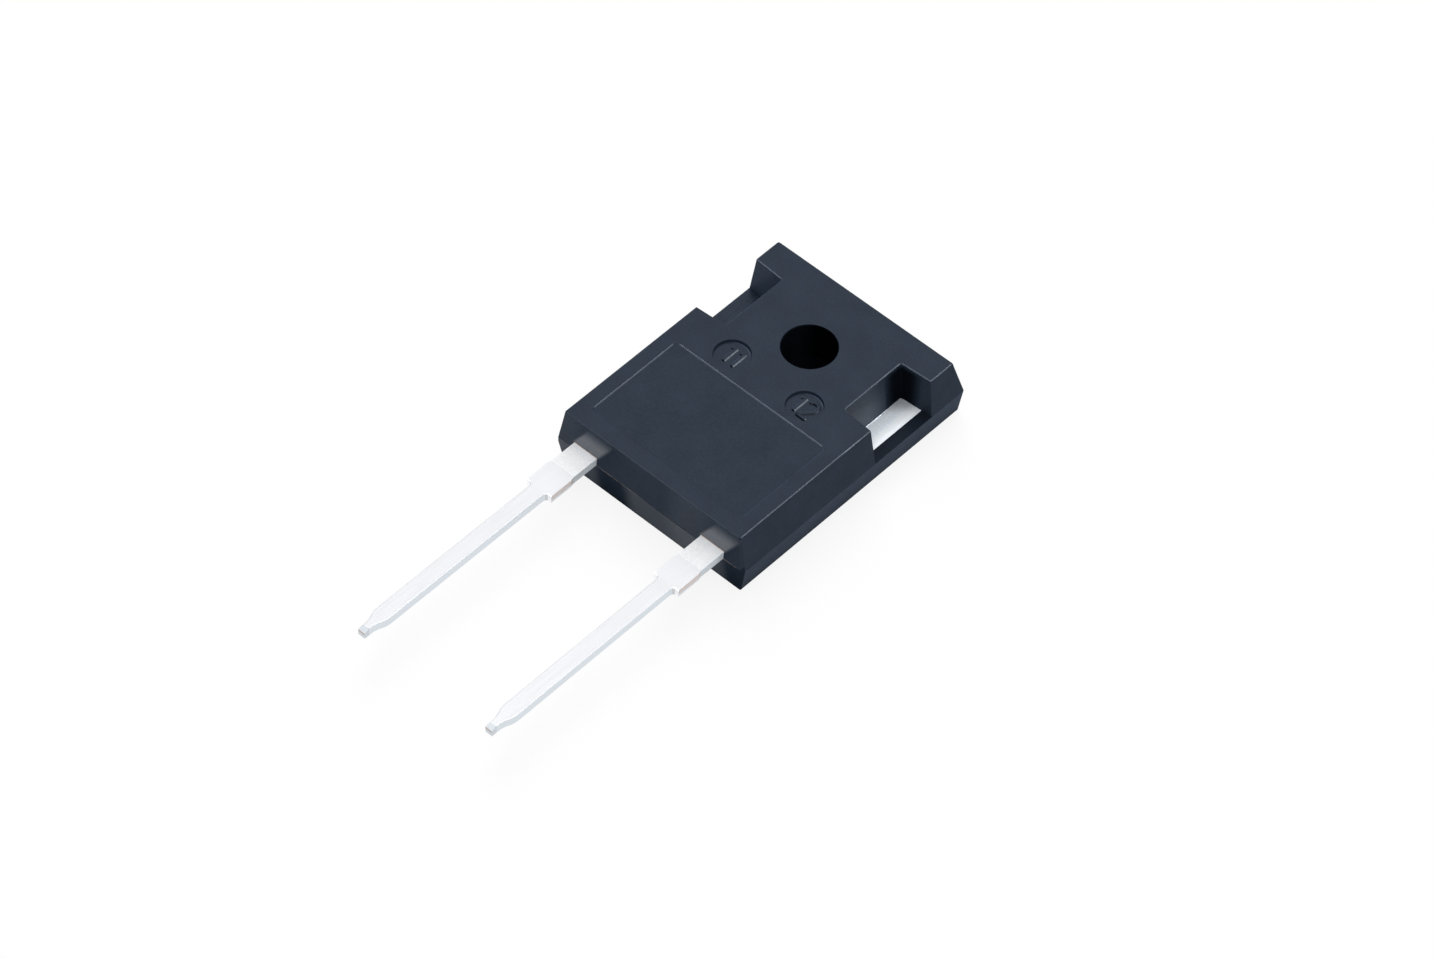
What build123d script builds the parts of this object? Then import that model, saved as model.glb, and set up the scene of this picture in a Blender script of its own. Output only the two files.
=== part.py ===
from build123d import *
import os
from math import hypot, radians, tan

os.makedirs("parts", exist_ok=True)

# Silicon carbide Schottky diode in a two-lead through-hole power package, millimetres.
# The origin is on the axis of the mounting hole, in the plane of the heatsink face.
# +Z leaves the moulded front face, +Y points to the end opposite the leads, and the
# leads run towards -Y: the cathode at -X, the anode at +X.

# ---- driving dimensions: moulded body ----
body_width = 15.8            # across the sides, at the parting plane
body_thickness = 5.0
hole_to_far_end = 6.11       # hole axis to the end opposite the leads, at the parting plane
hole_to_lead_end = 14.9      # hole axis to the lead end, level with the leads' undersides
corner_radius = 0.08         # upright corners
front_rim_chamfer = 0.05     # rim of the front face
hole_diameter = 3.66
hole_rim_chamfer = 0.055
front_draft_side = 7.7       # draft angles, degrees from upright
front_draft_far = 15.4
front_draft_lead = 7.0
back_draft_side = 8.2
back_draft_far = 3.0
back_draft_lead = 8.0

# ---- side notches, which bare the heat spreader for the mould's clamps ----
notch_centre = 0.34          # along Y, from the hole axis
notch_floor_length = 5.04    # along Y, at the floor, beside the inner wall
notch_floor_reach = 5.39     # hole axis to the inner wall, at the floor
notch_wall_draft = 5.4       # inner wall
notch_end_draft = 2.9        # the two end walls
notch_flare = 3.4            # end walls open towards the mouth, degrees in plan
notch_corner_radius = 0.15
notch_mouth_radius = 0.07

# ---- shallow marks of the mould on the front face ----
marking_width = 12.86
marking_length = 7.87
marking_far_edge = 5.5       # hole axis to the nearer edge of the marking field
marking_depth = 0.07
marking_corner_radius = 0.35
marking_wall_draft = 45.0
ejector_diameter = 2.52
ejector_spacing = 6.2
ejector_offset = 3.86        # hole axis to the row of ejector marks, towards the leads
ejector_depth = 0.18
ejector_wall_draft = 12.0

# ---- copper heat spreader ----
spreader_width = 14.1
spreader_thickness = 1.98
spreader_margin = 1.15       # far end of the body to the far end of the spreader
spreader_corner_radius = 0.6
spreader_hole_diameter = 7.2
lock_step_width = 0.15       # coined step round the back, which the compound grips
lock_step_height = 0.5

# ---- leads ----
lead_pitch = 10.9
lead_underside = 2.45        # height over the heatsink face
lead_thickness = 0.6
lead_length = 19.87          # from the lead end of the body to the tip
lead_width = 1.2
neck_width = 1.95            # from the body to the dam-bar line
shoulder_width = 2.1         # between the dam-bar line and the shoulder
dam_bar_distance = 2.06      # body to dam-bar line
dam_bar_run = 0.28           # length of the step from neck to shoulder width
shoulder_distance = 4.15     # body to the end of the shoulder
shoulder_fillet = 0.28
tip_width = 0.56
tip_taper = 1.55             # length of the curved taper
tip_nib = 0.5                # straight end beyond the taper
tip_coin_length = 0.42
tip_coin_drop = 0.12
lead_edge_radius = 0.08
lead_anchor = 0.9            # how far a straight lead runs on inside the body
tie_width = 2.6              # cathode tie between the spreader and its lead
tie_overlap = 0.6            # tie and spreader share this length
tie_flat = 0.4               # level stretch before the tie rises
tie_bend_radius = 0.45
post_width = 3.6             # bond post of the anode
post_length = 1.5
post_corner_radius = 0.3
post_gap = 0.56              # between the post and the spreader

# ---- die, its solder and its bond wires ----
die_size = 3.0
die_thickness = 0.36
die_centre_x = 0.4
die_centre_y = -7.6
solder_thickness = 0.05
solder_margin = 0.1          # the solder shows this far round the die
wire_diameter = 0.38
wire_count = 2
wire_spacing = 1.2
wire_loop_height = 1.55      # crest of a wire's centre line over the die
wire_rise = 0.8              # level distance in which a wire leaves the die
wire_fall = 0.75             # level distance in which a wire comes down to the post
wire_bend_radius = 0.45
foot_length = 0.7            # flattened ends of a wire
foot_width = 0.56
foot_height = 0.28

# ---- derived places ----
parting_plane = spreader_thickness           # the mould closes on the spreader's front
notch_top = body_thickness + 1               # the notches are cut well past the front face
notch_mouth = body_width / 2 + 1             # and well past the sides
lead_top = lead_underside + lead_thickness
lead_end = -hole_to_lead_end
body_length = hole_to_lead_end + hole_to_far_end
spreader_far = hole_to_far_end - spreader_margin
lead_root = lead_end + lead_anchor
spreader_near = lead_root + post_length + post_gap
spreader_length = spreader_far - spreader_near
shoulder_end = lead_end - shoulder_distance
tip_end = lead_end - lead_length
taper_end = tip_end + tip_nib
taper_start = taper_end + tip_taper
die_bottom = spreader_thickness + solder_thickness
die_top = die_bottom + die_thickness
post_centre = lead_root + post_length / 2


def lean(angle, rise):
    """How far a wall drafted by an angle leans over a rise."""
    return rise * tan(radians(angle))


def body_half_width(z):
    """Half width of the body at a height: widest at the parting plane."""
    draft = front_draft_side if z > parting_plane else back_draft_side
    return body_width / 2 - lean(draft, abs(z - parting_plane))


def body_far_end(z):
    """Y of the far end wall at a height: furthest at the parting plane."""
    draft = front_draft_far if z > parting_plane else back_draft_far
    return hole_to_far_end - lean(draft, abs(z - parting_plane))


def body_lead_end(z):
    """Y of the lead end wall at a height: furthest at the leads' undersides."""
    draft = front_draft_lead if z > lead_underside else back_draft_lead
    return lead_end + lean(draft, abs(z - lead_underside))


def notch_corners(side, level, margin):
    """Plan of a side notch at a height, with a margin all round; the inner corners come first."""
    depth = level - parting_plane
    wall = notch_floor_reach - lean(notch_wall_draft, depth) - margin
    half = notch_floor_length / 2 + lean(notch_end_draft, depth) + margin
    flared = half + lean(notch_flare, notch_mouth - wall)
    return [
        (side * wall, notch_centre - half),
        (side * wall, notch_centre + half),
        (side * notch_mouth, notch_centre + flared),
        (side * notch_mouth, notch_centre - flared),
    ]


# Straight lead, centred on X = 0: neck, sheared shoulder, narrow run and tapered tip.
with BuildPart() as straight_lead:
    with BuildSketch(Plane.XY.offset(lead_underside)) as lead_plan:
        with BuildLine():
            Polyline(
                (0, lead_root),
                (neck_width / 2, lead_root),
                (neck_width / 2, lead_end - dam_bar_distance),
                (shoulder_width / 2, lead_end - dam_bar_distance - dam_bar_run),
                (shoulder_width / 2, shoulder_end),
                (lead_width / 2, shoulder_end),
                (lead_width / 2, taper_start),
            )
            Bezier(
                (lead_width / 2, taper_start),
                (lead_width / 2, taper_start - tip_taper / 2),
                (tip_width / 2, taper_end + tip_taper / 2),
                (tip_width / 2, taper_end),
            )
            Polyline((tip_width / 2, taper_end), (tip_width / 2, tip_end), (0, tip_end))
            mirror(about=Plane.YZ)
        make_face()
        inner_corners = lead_plan.vertices().filter_by(
            lambda corner: abs(corner.Y - shoulder_end) < 1e-6
            and abs(abs(corner.X) - lead_width / 2) < 1e-6
        )
        fillet(inner_corners, shoulder_fillet)
    extrude(amount=lead_thickness)
    # the last stretch is coined: its top slopes down to the tip
    with BuildSketch(Plane.YZ):
        with BuildLine():
            Polyline(
                (tip_end + tip_coin_length, lead_top),
                (tip_end - tip_coin_length, lead_top - 2 * tip_coin_drop),
                (tip_end - tip_coin_length, lead_top + tip_coin_drop),
                (tip_end + tip_coin_length, lead_top + tip_coin_drop),
                close=True,
            )
        make_face()
    extrude(amount=lead_width, both=True, mode=Mode.SUBTRACT)
    # punched edges roll over, except where the dam bar was sheared off later
    rolled_edges = straight_lead.faces().sort_by(Axis.Z)[-1].edges().filter_by(
        lambda edge: edge.bounding_box().size.Y > 1e-6
        and edge.bounding_box().max.Y <= shoulder_end + 1e-6
    )
    fillet(rolled_edges, lead_edge_radius)

# Heat spreader and cathode lead: one piece, punched from copper strip of two gauges.
with BuildPart() as cathode_leadframe:
    with BuildSketch():
        with Locations((0, (spreader_far + spreader_near) / 2)):
            RectangleRounded(
                spreader_width - 2 * lock_step_width,
                spreader_length - 2 * lock_step_width,
                spreader_corner_radius - lock_step_width,
            )
    extrude(amount=spreader_thickness)
    with BuildSketch(Plane.XY.offset(lock_step_height)):
        with Locations((0, (spreader_far + spreader_near) / 2)):
            RectangleRounded(spreader_width, spreader_length, spreader_corner_radius)
    extrude(amount=spreader_thickness - lock_step_height)
    Hole(spreader_hole_diameter / 2)
    # the tie leaves level with the spreader's front and rises to the lead
    with BuildSketch(Plane.YZ.offset(-lead_pitch / 2)):
        with BuildLine():
            rise = lead_top - spreader_thickness
            level = spreader_thickness - lead_thickness / 2
            FilletPolyline(
                (spreader_near + tie_overlap, level),
                (spreader_near - tie_flat, level),
                (spreader_near - tie_flat - rise, level + rise),
                (lead_root, level + rise),
                radius=tie_bend_radius,
            )
            offset(amount=lead_thickness / 2, side=Side.BOTH)
        make_face()
    extrude(amount=tie_width / 2, both=True)
    with Locations((-lead_pitch / 2, 0)):
        add(straight_lead.part)
cathode_leadframe.part.label = "cathode_leadframe"
export_step(cathode_leadframe.part, "parts/cathode_leadframe.step")

# Anode lead with the wide post that takes the bond wires.
with BuildPart() as anode_lead:
    with Locations((lead_pitch / 2, 0)):
        add(straight_lead.part)
    with BuildSketch(Plane.XY.offset(lead_underside)):
        with Locations((lead_pitch / 2, post_centre)):
            RectangleRounded(post_width, post_length, post_corner_radius)
    extrude(amount=lead_thickness)
anode_lead.part.label = "anode_lead"
export_step(anode_lead.part, "parts/anode_lead.step")

# Solder between die and spreader.
with BuildPart() as die_solder:
    with BuildSketch(Plane.XY.offset(spreader_thickness)):
        with Locations((die_centre_x, die_centre_y)):
            Rectangle(die_size + 2 * solder_margin, die_size + 2 * solder_margin)
    extrude(amount=solder_thickness)
die_solder.part.label = "die_solder"
export_step(die_solder.part, "parts/die_solder.step")

# Silicon carbide die.
with BuildPart() as sic_die:
    with BuildSketch(Plane.XY.offset(die_bottom)):
        with Locations((die_centre_x, die_centre_y)):
            Rectangle(die_size, die_size)
    extrude(amount=die_thickness)
sic_die.part.label = "sic_die"
export_step(sic_die.part, "parts/sic_die.step")

# Bond wires: each climbs from the die, runs level and comes down on the anode post.
bond_wires = []
wire_run_x = lead_pitch / 2 - die_centre_x
wire_run_y = post_centre - die_centre_y
wire_span = hypot(wire_run_x, wire_run_y)
post_step = lead_top - die_top
for number in range(1, wire_count + 1):
    shift = (number - (wire_count + 1) / 2) * wire_spacing
    wire_plane = Plane(
        origin=(die_centre_x + shift, die_centre_y, die_top),
        x_dir=(wire_run_x, wire_run_y, 0),
        z_dir=(wire_run_y, -wire_run_x, 0),
    )
    with BuildPart() as bond_wire:
        with BuildLine(wire_plane) as wire_path:
            FilletPolyline(
                (0, foot_height / 2),
                (wire_rise, wire_loop_height),
                (wire_span - wire_fall, wire_loop_height),
                (wire_span, post_step + foot_height / 2),
                radius=wire_bend_radius,
            )
        with BuildSketch(Plane(origin=wire_path.line @ 0, z_dir=wire_path.line % 0)):
            Circle(wire_diameter / 2)
        sweep(path=wire_path.line)
        with BuildSketch(wire_plane):
            with Locations((0, foot_height / 2), (wire_span, post_step + foot_height / 2)):
                Rectangle(foot_length, foot_height)
        extrude(amount=foot_width / 2, both=True)
    bond_wire.part.label = f"bond_wire_{number}"
    export_step(bond_wire.part, f"parts/bond_wire_{number}.step")
    bond_wires.append(bond_wire.part)

# Moulded body: epoxy cast round everything else.
with BuildPart() as moulded_body:
    # across the width: both halves of the mould draw from the parting plane
    with BuildSketch(Plane.XZ):
        with BuildLine():
            Polyline(
                (0, 0),
                (body_half_width(0), 0),
                (body_half_width(parting_plane), parting_plane),
                (body_half_width(body_thickness), body_thickness),
                (0, body_thickness),
            )
            mirror(about=Plane.YZ)
        make_face()
    extrude(amount=body_length, both=True)
    # along the length: at the lead end the mould parts level with the leads' undersides
    with BuildSketch(Plane.YZ):
        with BuildLine():
            Polyline(
                (body_lead_end(0), 0),
                (body_lead_end(lead_underside), lead_underside),
                (body_lead_end(body_thickness), body_thickness),
                (body_far_end(body_thickness), body_thickness),
                (body_far_end(parting_plane), parting_plane),
                (body_far_end(0), 0),
                close=True,
            )
        make_face()
    extrude(amount=body_width, both=True, mode=Mode.INTERSECT)
    upright_edges = moulded_body.edges().filter_by(lambda edge: abs(edge.tangent_at(0.5).Z) > 0.8)
    fillet(upright_edges, corner_radius)
    # notches: drafted walls, flared ends, flat floor on the parting plane
    for side in (-1, 1):
        for level in (parting_plane, notch_top):
            with BuildSketch(Plane.XY.offset(level)) as notch_plan:
                Polygon(*notch_corners(side, level, 0), align=None)
                inner_corners = notch_plan.vertices().sort_by(lambda v: abs(v.X))[:2]
                fillet(inner_corners, notch_corner_radius)
        loft(ruled=True, mode=Mode.SUBTRACT)
    mouth_edges = moulded_body.edges().filter_by(
        lambda edge: edge.bounding_box().size.Z > notch_mouth_radius
        and abs(edge.center().X) > notch_floor_reach + notch_corner_radius
        and abs(edge.center().Y - notch_centre) < notch_floor_length
    )
    fillet(mouth_edges, notch_mouth_radius)
    # the rim of the front face is broken all round, notches included
    front_width = 2 * body_half_width(body_thickness)
    front_far = body_far_end(body_thickness)
    front_lead = body_lead_end(body_thickness)
    with BuildSketch(Plane.XY.offset(body_thickness)):
        with Locations((0, (front_far + front_lead) / 2)):
            RectangleRounded(
                front_width - 2 * front_rim_chamfer,
                front_far - front_lead - 2 * front_rim_chamfer,
                corner_radius,
            )
    extrude(amount=-body_thickness, taper=-45, mode=Mode.INTERSECT)
    for side in (-1, 1):
        with BuildSketch(Plane.XY.offset(body_thickness)) as notch_plan:
            Polygon(*notch_corners(side, body_thickness, front_rim_chamfer), align=None)
            inner_corners = notch_plan.vertices().sort_by(lambda v: abs(v.X))[:2]
            fillet(inner_corners, notch_corner_radius)
        extrude(amount=-2 * front_rim_chamfer, taper=45, mode=Mode.SUBTRACT)
    # mounting hole
    Hole(hole_diameter / 2)
    hole_rim = moulded_body.faces().sort_by(Axis.Z)[-1].inner_wires()[0].edges()
    chamfer(hole_rim, hole_rim_chamfer)
    # marking field and ejector marks
    with BuildSketch(Plane.XY.offset(body_thickness)):
        with Locations((0, -marking_far_edge - marking_length / 2)):
            RectangleRounded(marking_width, marking_length, marking_corner_radius)
    extrude(amount=-marking_depth, taper=marking_wall_draft, mode=Mode.SUBTRACT)
    with BuildSketch(Plane.XY.offset(body_thickness)):
        with Locations((-ejector_spacing / 2, -ejector_offset), (ejector_spacing / 2, -ejector_offset)):
            Circle(ejector_diameter / 2)
    extrude(amount=-ejector_depth, taper=ejector_wall_draft, mode=Mode.SUBTRACT)
    # room for what the body encloses, face to face
    for enclosed in (cathode_leadframe, anode_lead, die_solder, sic_die):
        add(enclosed.part, mode=Mode.SUBTRACT)
    for wire in bond_wires:
        add(wire, mode=Mode.SUBTRACT)
moulded_body.part.label = "moulded_body"
export_step(moulded_body.part, "parts/moulded_body.step")
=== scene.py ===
"""Two-lead silicon carbide Schottky diode: finishes, fine moulded details, studio and camera.

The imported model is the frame. Everything here takes its place from it, in metres, with the
heatsink face on z = 0, the mounting hole on the Z axis and the leads towards -Y.
"""

import math

import bpy
import numpy as np
from mathutils import Matrix, Vector


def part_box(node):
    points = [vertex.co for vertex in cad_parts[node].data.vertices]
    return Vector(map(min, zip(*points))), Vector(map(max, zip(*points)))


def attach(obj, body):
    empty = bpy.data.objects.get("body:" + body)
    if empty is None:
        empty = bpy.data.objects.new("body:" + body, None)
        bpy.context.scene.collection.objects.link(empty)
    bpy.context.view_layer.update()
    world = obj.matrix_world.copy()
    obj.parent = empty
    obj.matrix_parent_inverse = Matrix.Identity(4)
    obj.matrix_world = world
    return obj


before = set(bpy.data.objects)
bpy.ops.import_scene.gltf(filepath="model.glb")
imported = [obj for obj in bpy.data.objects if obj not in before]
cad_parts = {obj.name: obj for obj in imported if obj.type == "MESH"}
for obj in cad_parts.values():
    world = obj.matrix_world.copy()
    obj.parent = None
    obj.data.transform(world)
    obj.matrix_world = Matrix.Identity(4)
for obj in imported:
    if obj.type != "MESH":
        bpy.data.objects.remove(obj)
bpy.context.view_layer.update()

bl_info = {
    "name": "Power diode studio",
    "version": (1, 0, 0),
    "blender": (4, 5, 0),
    "location": "3D View > Sidebar > Diode",
    "description": "Finishes, moulded details and studio for a two-lead power diode",
    "category": "Object",
}

MM = 0.001

# places that several pieces share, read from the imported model
BODY_LOW, BODY_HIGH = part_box("moulded_body")
LEAD_LOW, LEAD_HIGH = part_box("anode_lead")
FRAME_LOW, FRAME_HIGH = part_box("cathode_leadframe")
LEAD_CENTRE = (LEAD_LOW.x + LEAD_HIGH.x) / 2
LEAD_END = BODY_LOW.y
FRONT_FACE = BODY_HIGH.z
FRAME_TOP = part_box("die_solder")[0].z


# ---------------------------------------------------------------- settings

class DiodeEpoxySettings(bpy.types.PropertyGroup):
    """The moulding compound."""

    face_colour: bpy.props.FloatVectorProperty(
        name="Face colour",
        description="Moulding compound on the outside",
        subtype="COLOR", size=3, min=0, max=1,
        default=(0.0228, 0.0313, 0.0462),
    )
    cloud_colour: bpy.props.FloatVectorProperty(
        name="Cloud colour",
        description="Colour that the outside goes to in soft clouds",
        subtype="COLOR", size=3, min=0, max=1,
        default=(0.0216, 0.0312, 0.0492),
    )
    field_colour: bpy.props.FloatVectorProperty(
        name="Marking field colour",
        description="Moulding compound in the sunken marking field",
        subtype="COLOR", size=3, min=0, max=1,
        default=(0.0198, 0.0292, 0.0448),
    )
    roughness: bpy.props.FloatProperty(
        name="Roughness",
        description="Roughness of the gloss on the moulded skin",
        subtype="FACTOR", default=0.28, min=0, max=1,
    )
    gloss: bpy.props.FloatProperty(
        name="Gloss",
        description="Share of the skin of the front face that is glossy",
        subtype="FACTOR", default=0.15, min=0, max=1,
    )
    wall_gloss: bpy.props.FloatProperty(
        name="Wall gloss",
        description="The same share on the outer walls",
        subtype="FACTOR", default=0.07, min=0, max=1,
    )
    edge_gloss: bpy.props.FloatProperty(
        name="Edge gloss",
        description="The same share on the broken edges",
        subtype="FACTOR", default=0.30, min=0, max=1,
    )
    mark_gloss: bpy.props.FloatProperty(
        name="Mark gloss",
        description="The same share on the flanks of the raised numbers",
        subtype="FACTOR", default=0.36, min=0, max=1,
    )
    grain: bpy.props.FloatProperty(
        name="Grain",
        description="Spacing of the fine grain left by the mould",
        subtype="DISTANCE", unit="LENGTH", default=0.09 * MM, min=0.01 * MM,
    )
    grain_height: bpy.props.FloatProperty(
        name="Grain height",
        description="Height of the fine grain",
        subtype="DISTANCE", unit="LENGTH", default=0.0022 * MM, min=0,
    )


class DiodeLeadSettings(bpy.types.PropertyGroup):
    """The tinned copper of the leads and the heat spreader."""

    tin_colour: bpy.props.FloatVectorProperty(
        name="Tin colour",
        description="Matt tin on the leads",
        subtype="COLOR", size=3, min=0, max=1,
        default=(0.915, 0.923, 0.943),
    )
    neck_colour: bpy.props.FloatVectorProperty(
        name="Neck colour",
        description="Tin between the body and the dam-bar line",
        subtype="COLOR", size=3, min=0, max=1,
        default=(0.885, 0.895, 0.905),
    )
    spreader_colour: bpy.props.FloatVectorProperty(
        name="Spreader colour",
        description="Tin on the heat spreader, in the notches",
        subtype="COLOR", size=3, min=0, max=1,
        default=(0.86, 0.91, 0.955),
    )
    # painted shade: this colour stands for the shade on the cut sides and the coined tips
    side_shade_colour: bpy.props.FloatVectorProperty(
        name="Side colour",
        description="Thin tin on the cut sides and the coined tips",
        subtype="COLOR", size=3, min=0, max=1,
        default=(0.725, 0.77, 0.805),
    )
    copper_colour: bpy.props.FloatVectorProperty(
        name="Copper colour",
        description="Copper that shows through on sheared faces",
        subtype="COLOR", size=3, min=0, max=1,
        default=(0.52, 0.33, 0.25),
    )
    burr: bpy.props.FloatProperty(
        name="Burr",
        description="Height of the burr on the spreader",
        subtype="DISTANCE", unit="LENGTH", default=0.032 * MM, min=0.015 * MM,
    )
    wall: bpy.props.FloatProperty(
        name="Notch wall",
        description="From the hole axis to the notches' inner walls, on the spreader",
        subtype="DISTANCE", unit="LENGTH", default=5.39 * MM, min=0,
    )
    dam_bar_distance: bpy.props.FloatProperty(
        name="Dam-bar distance",
        description="From the body to the line of the sheared dam bar",
        subtype="DISTANCE", unit="LENGTH", default=2.06 * MM, min=0,
    )
    shoulder_distance: bpy.props.FloatProperty(
        name="Shoulder distance",
        description="From the body to the end of the wide shoulder",
        subtype="DISTANCE", unit="LENGTH", default=4.15 * MM, min=0,
    )
    roughness: bpy.props.FloatProperty(
        name="Roughness",
        description="Mean roughness of the tin",
        subtype="FACTOR", default=0.5, min=0, max=1,
    )


class DiodeMarkSettings(bpy.types.PropertyGroup):
    """The raised numbers in the two ejector marks."""

    height: bpy.props.FloatProperty(
        name="Height",
        description="Height of a digit",
        subtype="DISTANCE", unit="LENGTH", default=1.5 * MM, min=0.1 * MM,
    )
    stroke: bpy.props.FloatProperty(
        name="Stroke",
        description="Width of a digit's stroke at its foot",
        subtype="DISTANCE", unit="LENGTH", default=0.34 * MM, min=0.01 * MM,
    )
    relief: bpy.props.FloatProperty(
        name="Relief",
        description="How far a digit stands up from its sunken disc",
        subtype="DISTANCE", unit="LENGTH", default=0.09 * MM, min=0,
    )
    spacing: bpy.props.FloatProperty(
        name="Spacing",
        description="Between the centres of the two discs",
        subtype="DISTANCE", unit="LENGTH", default=6.2 * MM,
    )
    offset: bpy.props.FloatProperty(
        name="Offset",
        description="From the hole axis to the discs, towards the leads",
        subtype="DISTANCE", unit="LENGTH", default=3.86 * MM,
    )
    disc_radius: bpy.props.FloatProperty(
        name="Disc radius",
        description="Radius of the sunken discs at their floor",
        subtype="DISTANCE", unit="LENGTH", default=1.22 * MM, min=0,
    )
    disc_depth: bpy.props.FloatProperty(
        name="Disc depth",
        description="Depth of the sunken discs under the front face",
        subtype="DISTANCE", unit="LENGTH", default=0.18 * MM, min=0,
    )


class DiodeStudioSettings(bpy.types.PropertyGroup):
    """Floor, lamps and camera."""

    floor_colour: bpy.props.FloatVectorProperty(
        name="Floor colour",
        description="Colour of the floor",
        subtype="COLOR", size=3, min=0, max=1,
        default=(0.92, 0.92, 0.92),
    )
    backdrop: bpy.props.FloatProperty(
        name="Backdrop",
        description="Share of pure white in the floor as it is seen",
        subtype="FACTOR", default=0.86, min=0, max=1,
    )
    key: bpy.props.FloatProperty(
        name="Key",
        description="Power of the lamp behind the far end, which only lights matt surfaces",
        unit="POWER", default=3.4, min=0,
    )
    softbox: bpy.props.FloatProperty(
        name="Softbox",
        description="Power of the large lamp over the lead side",
        unit="POWER", default=1.8, min=0,
    )
    strips: bpy.props.FloatProperty(
        name="Strip lamps",
        description="Power of each low lamp that draws the glossy edges",
        unit="POWER", default=0.5, min=0,
    )
    strip_colour: bpy.props.FloatVectorProperty(
        name="Strip colour",
        description="Colour of the low lamps",
        subtype="COLOR", size=3, min=0, max=1,
        default=(0.80, 0.90, 1.0),
    )
    sky: bpy.props.FloatProperty(
        name="Sky",
        description="Strength of the surrounding light",
        default=0.30, min=0,
    )
    azimuth: bpy.props.FloatProperty(
        name="Azimuth",
        description="Camera's direction, from the lead side towards +X",
        subtype="ANGLE", default=math.radians(41.642),
    )
    elevation: bpy.props.FloatProperty(
        name="Elevation",
        description="Camera's height over the floor, as an angle",
        subtype="ANGLE", default=math.radians(50.283),
    )
    roll: bpy.props.FloatProperty(
        name="Roll",
        description="Turn of the camera about its own axis",
        subtype="ANGLE", default=math.radians(1.62),
    )
    distance: bpy.props.FloatProperty(
        name="Distance",
        description="From the camera to the floor point it looks at",
        subtype="DISTANCE", unit="LENGTH", default=387.1 * MM,
    )
    aim: bpy.props.FloatVectorProperty(
        name="Aim",
        description="Floor point that the camera looks at",
        subtype="XYZ", unit="LENGTH", size=3, default=(0.452 * MM, -8.974 * MM, 0),
    )
    lens: bpy.props.FloatProperty(
        name="Lens",
        description="Focal length, in millimetres",
        unit="CAMERA", default=153.44, min=1,
    )


# ---------------------------------------------------------------- shader maths

class Signal:
    """A value socket of a shader. Arithmetic on it adds Math nodes."""

    def __init__(self, shader, socket):
        self.shader = shader
        self.socket = socket

    def math(self, operation, *operands):
        """Adds a Math node on the operands, this signal among them, in their order."""
        inputs = dict(enumerate(operands))
        node = self.shader.add("ShaderNodeMath", {"operation": operation}, inputs)
        return Signal(self.shader, node.outputs[0])

    def __add__(self, other):
        return self.math("ADD", self, other)

    __radd__ = __add__

    def __sub__(self, other):
        return self.math("SUBTRACT", self, other)

    def __rsub__(self, other):
        return self.math("SUBTRACT", other, self)

    def __mul__(self, other):
        return self.math("MULTIPLY", self, other)

    __rmul__ = __mul__

    def __neg__(self):
        return self.math("MULTIPLY", self, -1)

    def __abs__(self):
        return self.math("ABSOLUTE", self)

    def root(self):
        """Square root."""
        return self.math("SQRT", self)

    def at_least(self, least):
        """The larger of this and least."""
        return self.math("MAXIMUM", self, least)

    def rises(self, low, high):
        """0 under low, 1 over high and smooth between; falls instead where low is the larger."""
        settings = {"interpolation_type": "SMOOTHSTEP"}
        inputs = {"Value": self, "From Min": low, "From Max": high}
        node = self.shader.add("ShaderNodeMapRange", settings, inputs)
        return Signal(self.shader, node.outputs["Result"])

    def near(self, place, core, reach):
        """1 within core of place, 0 beyond reach of it and smooth between."""
        return abs(self - place).rises(reach, core)


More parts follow.
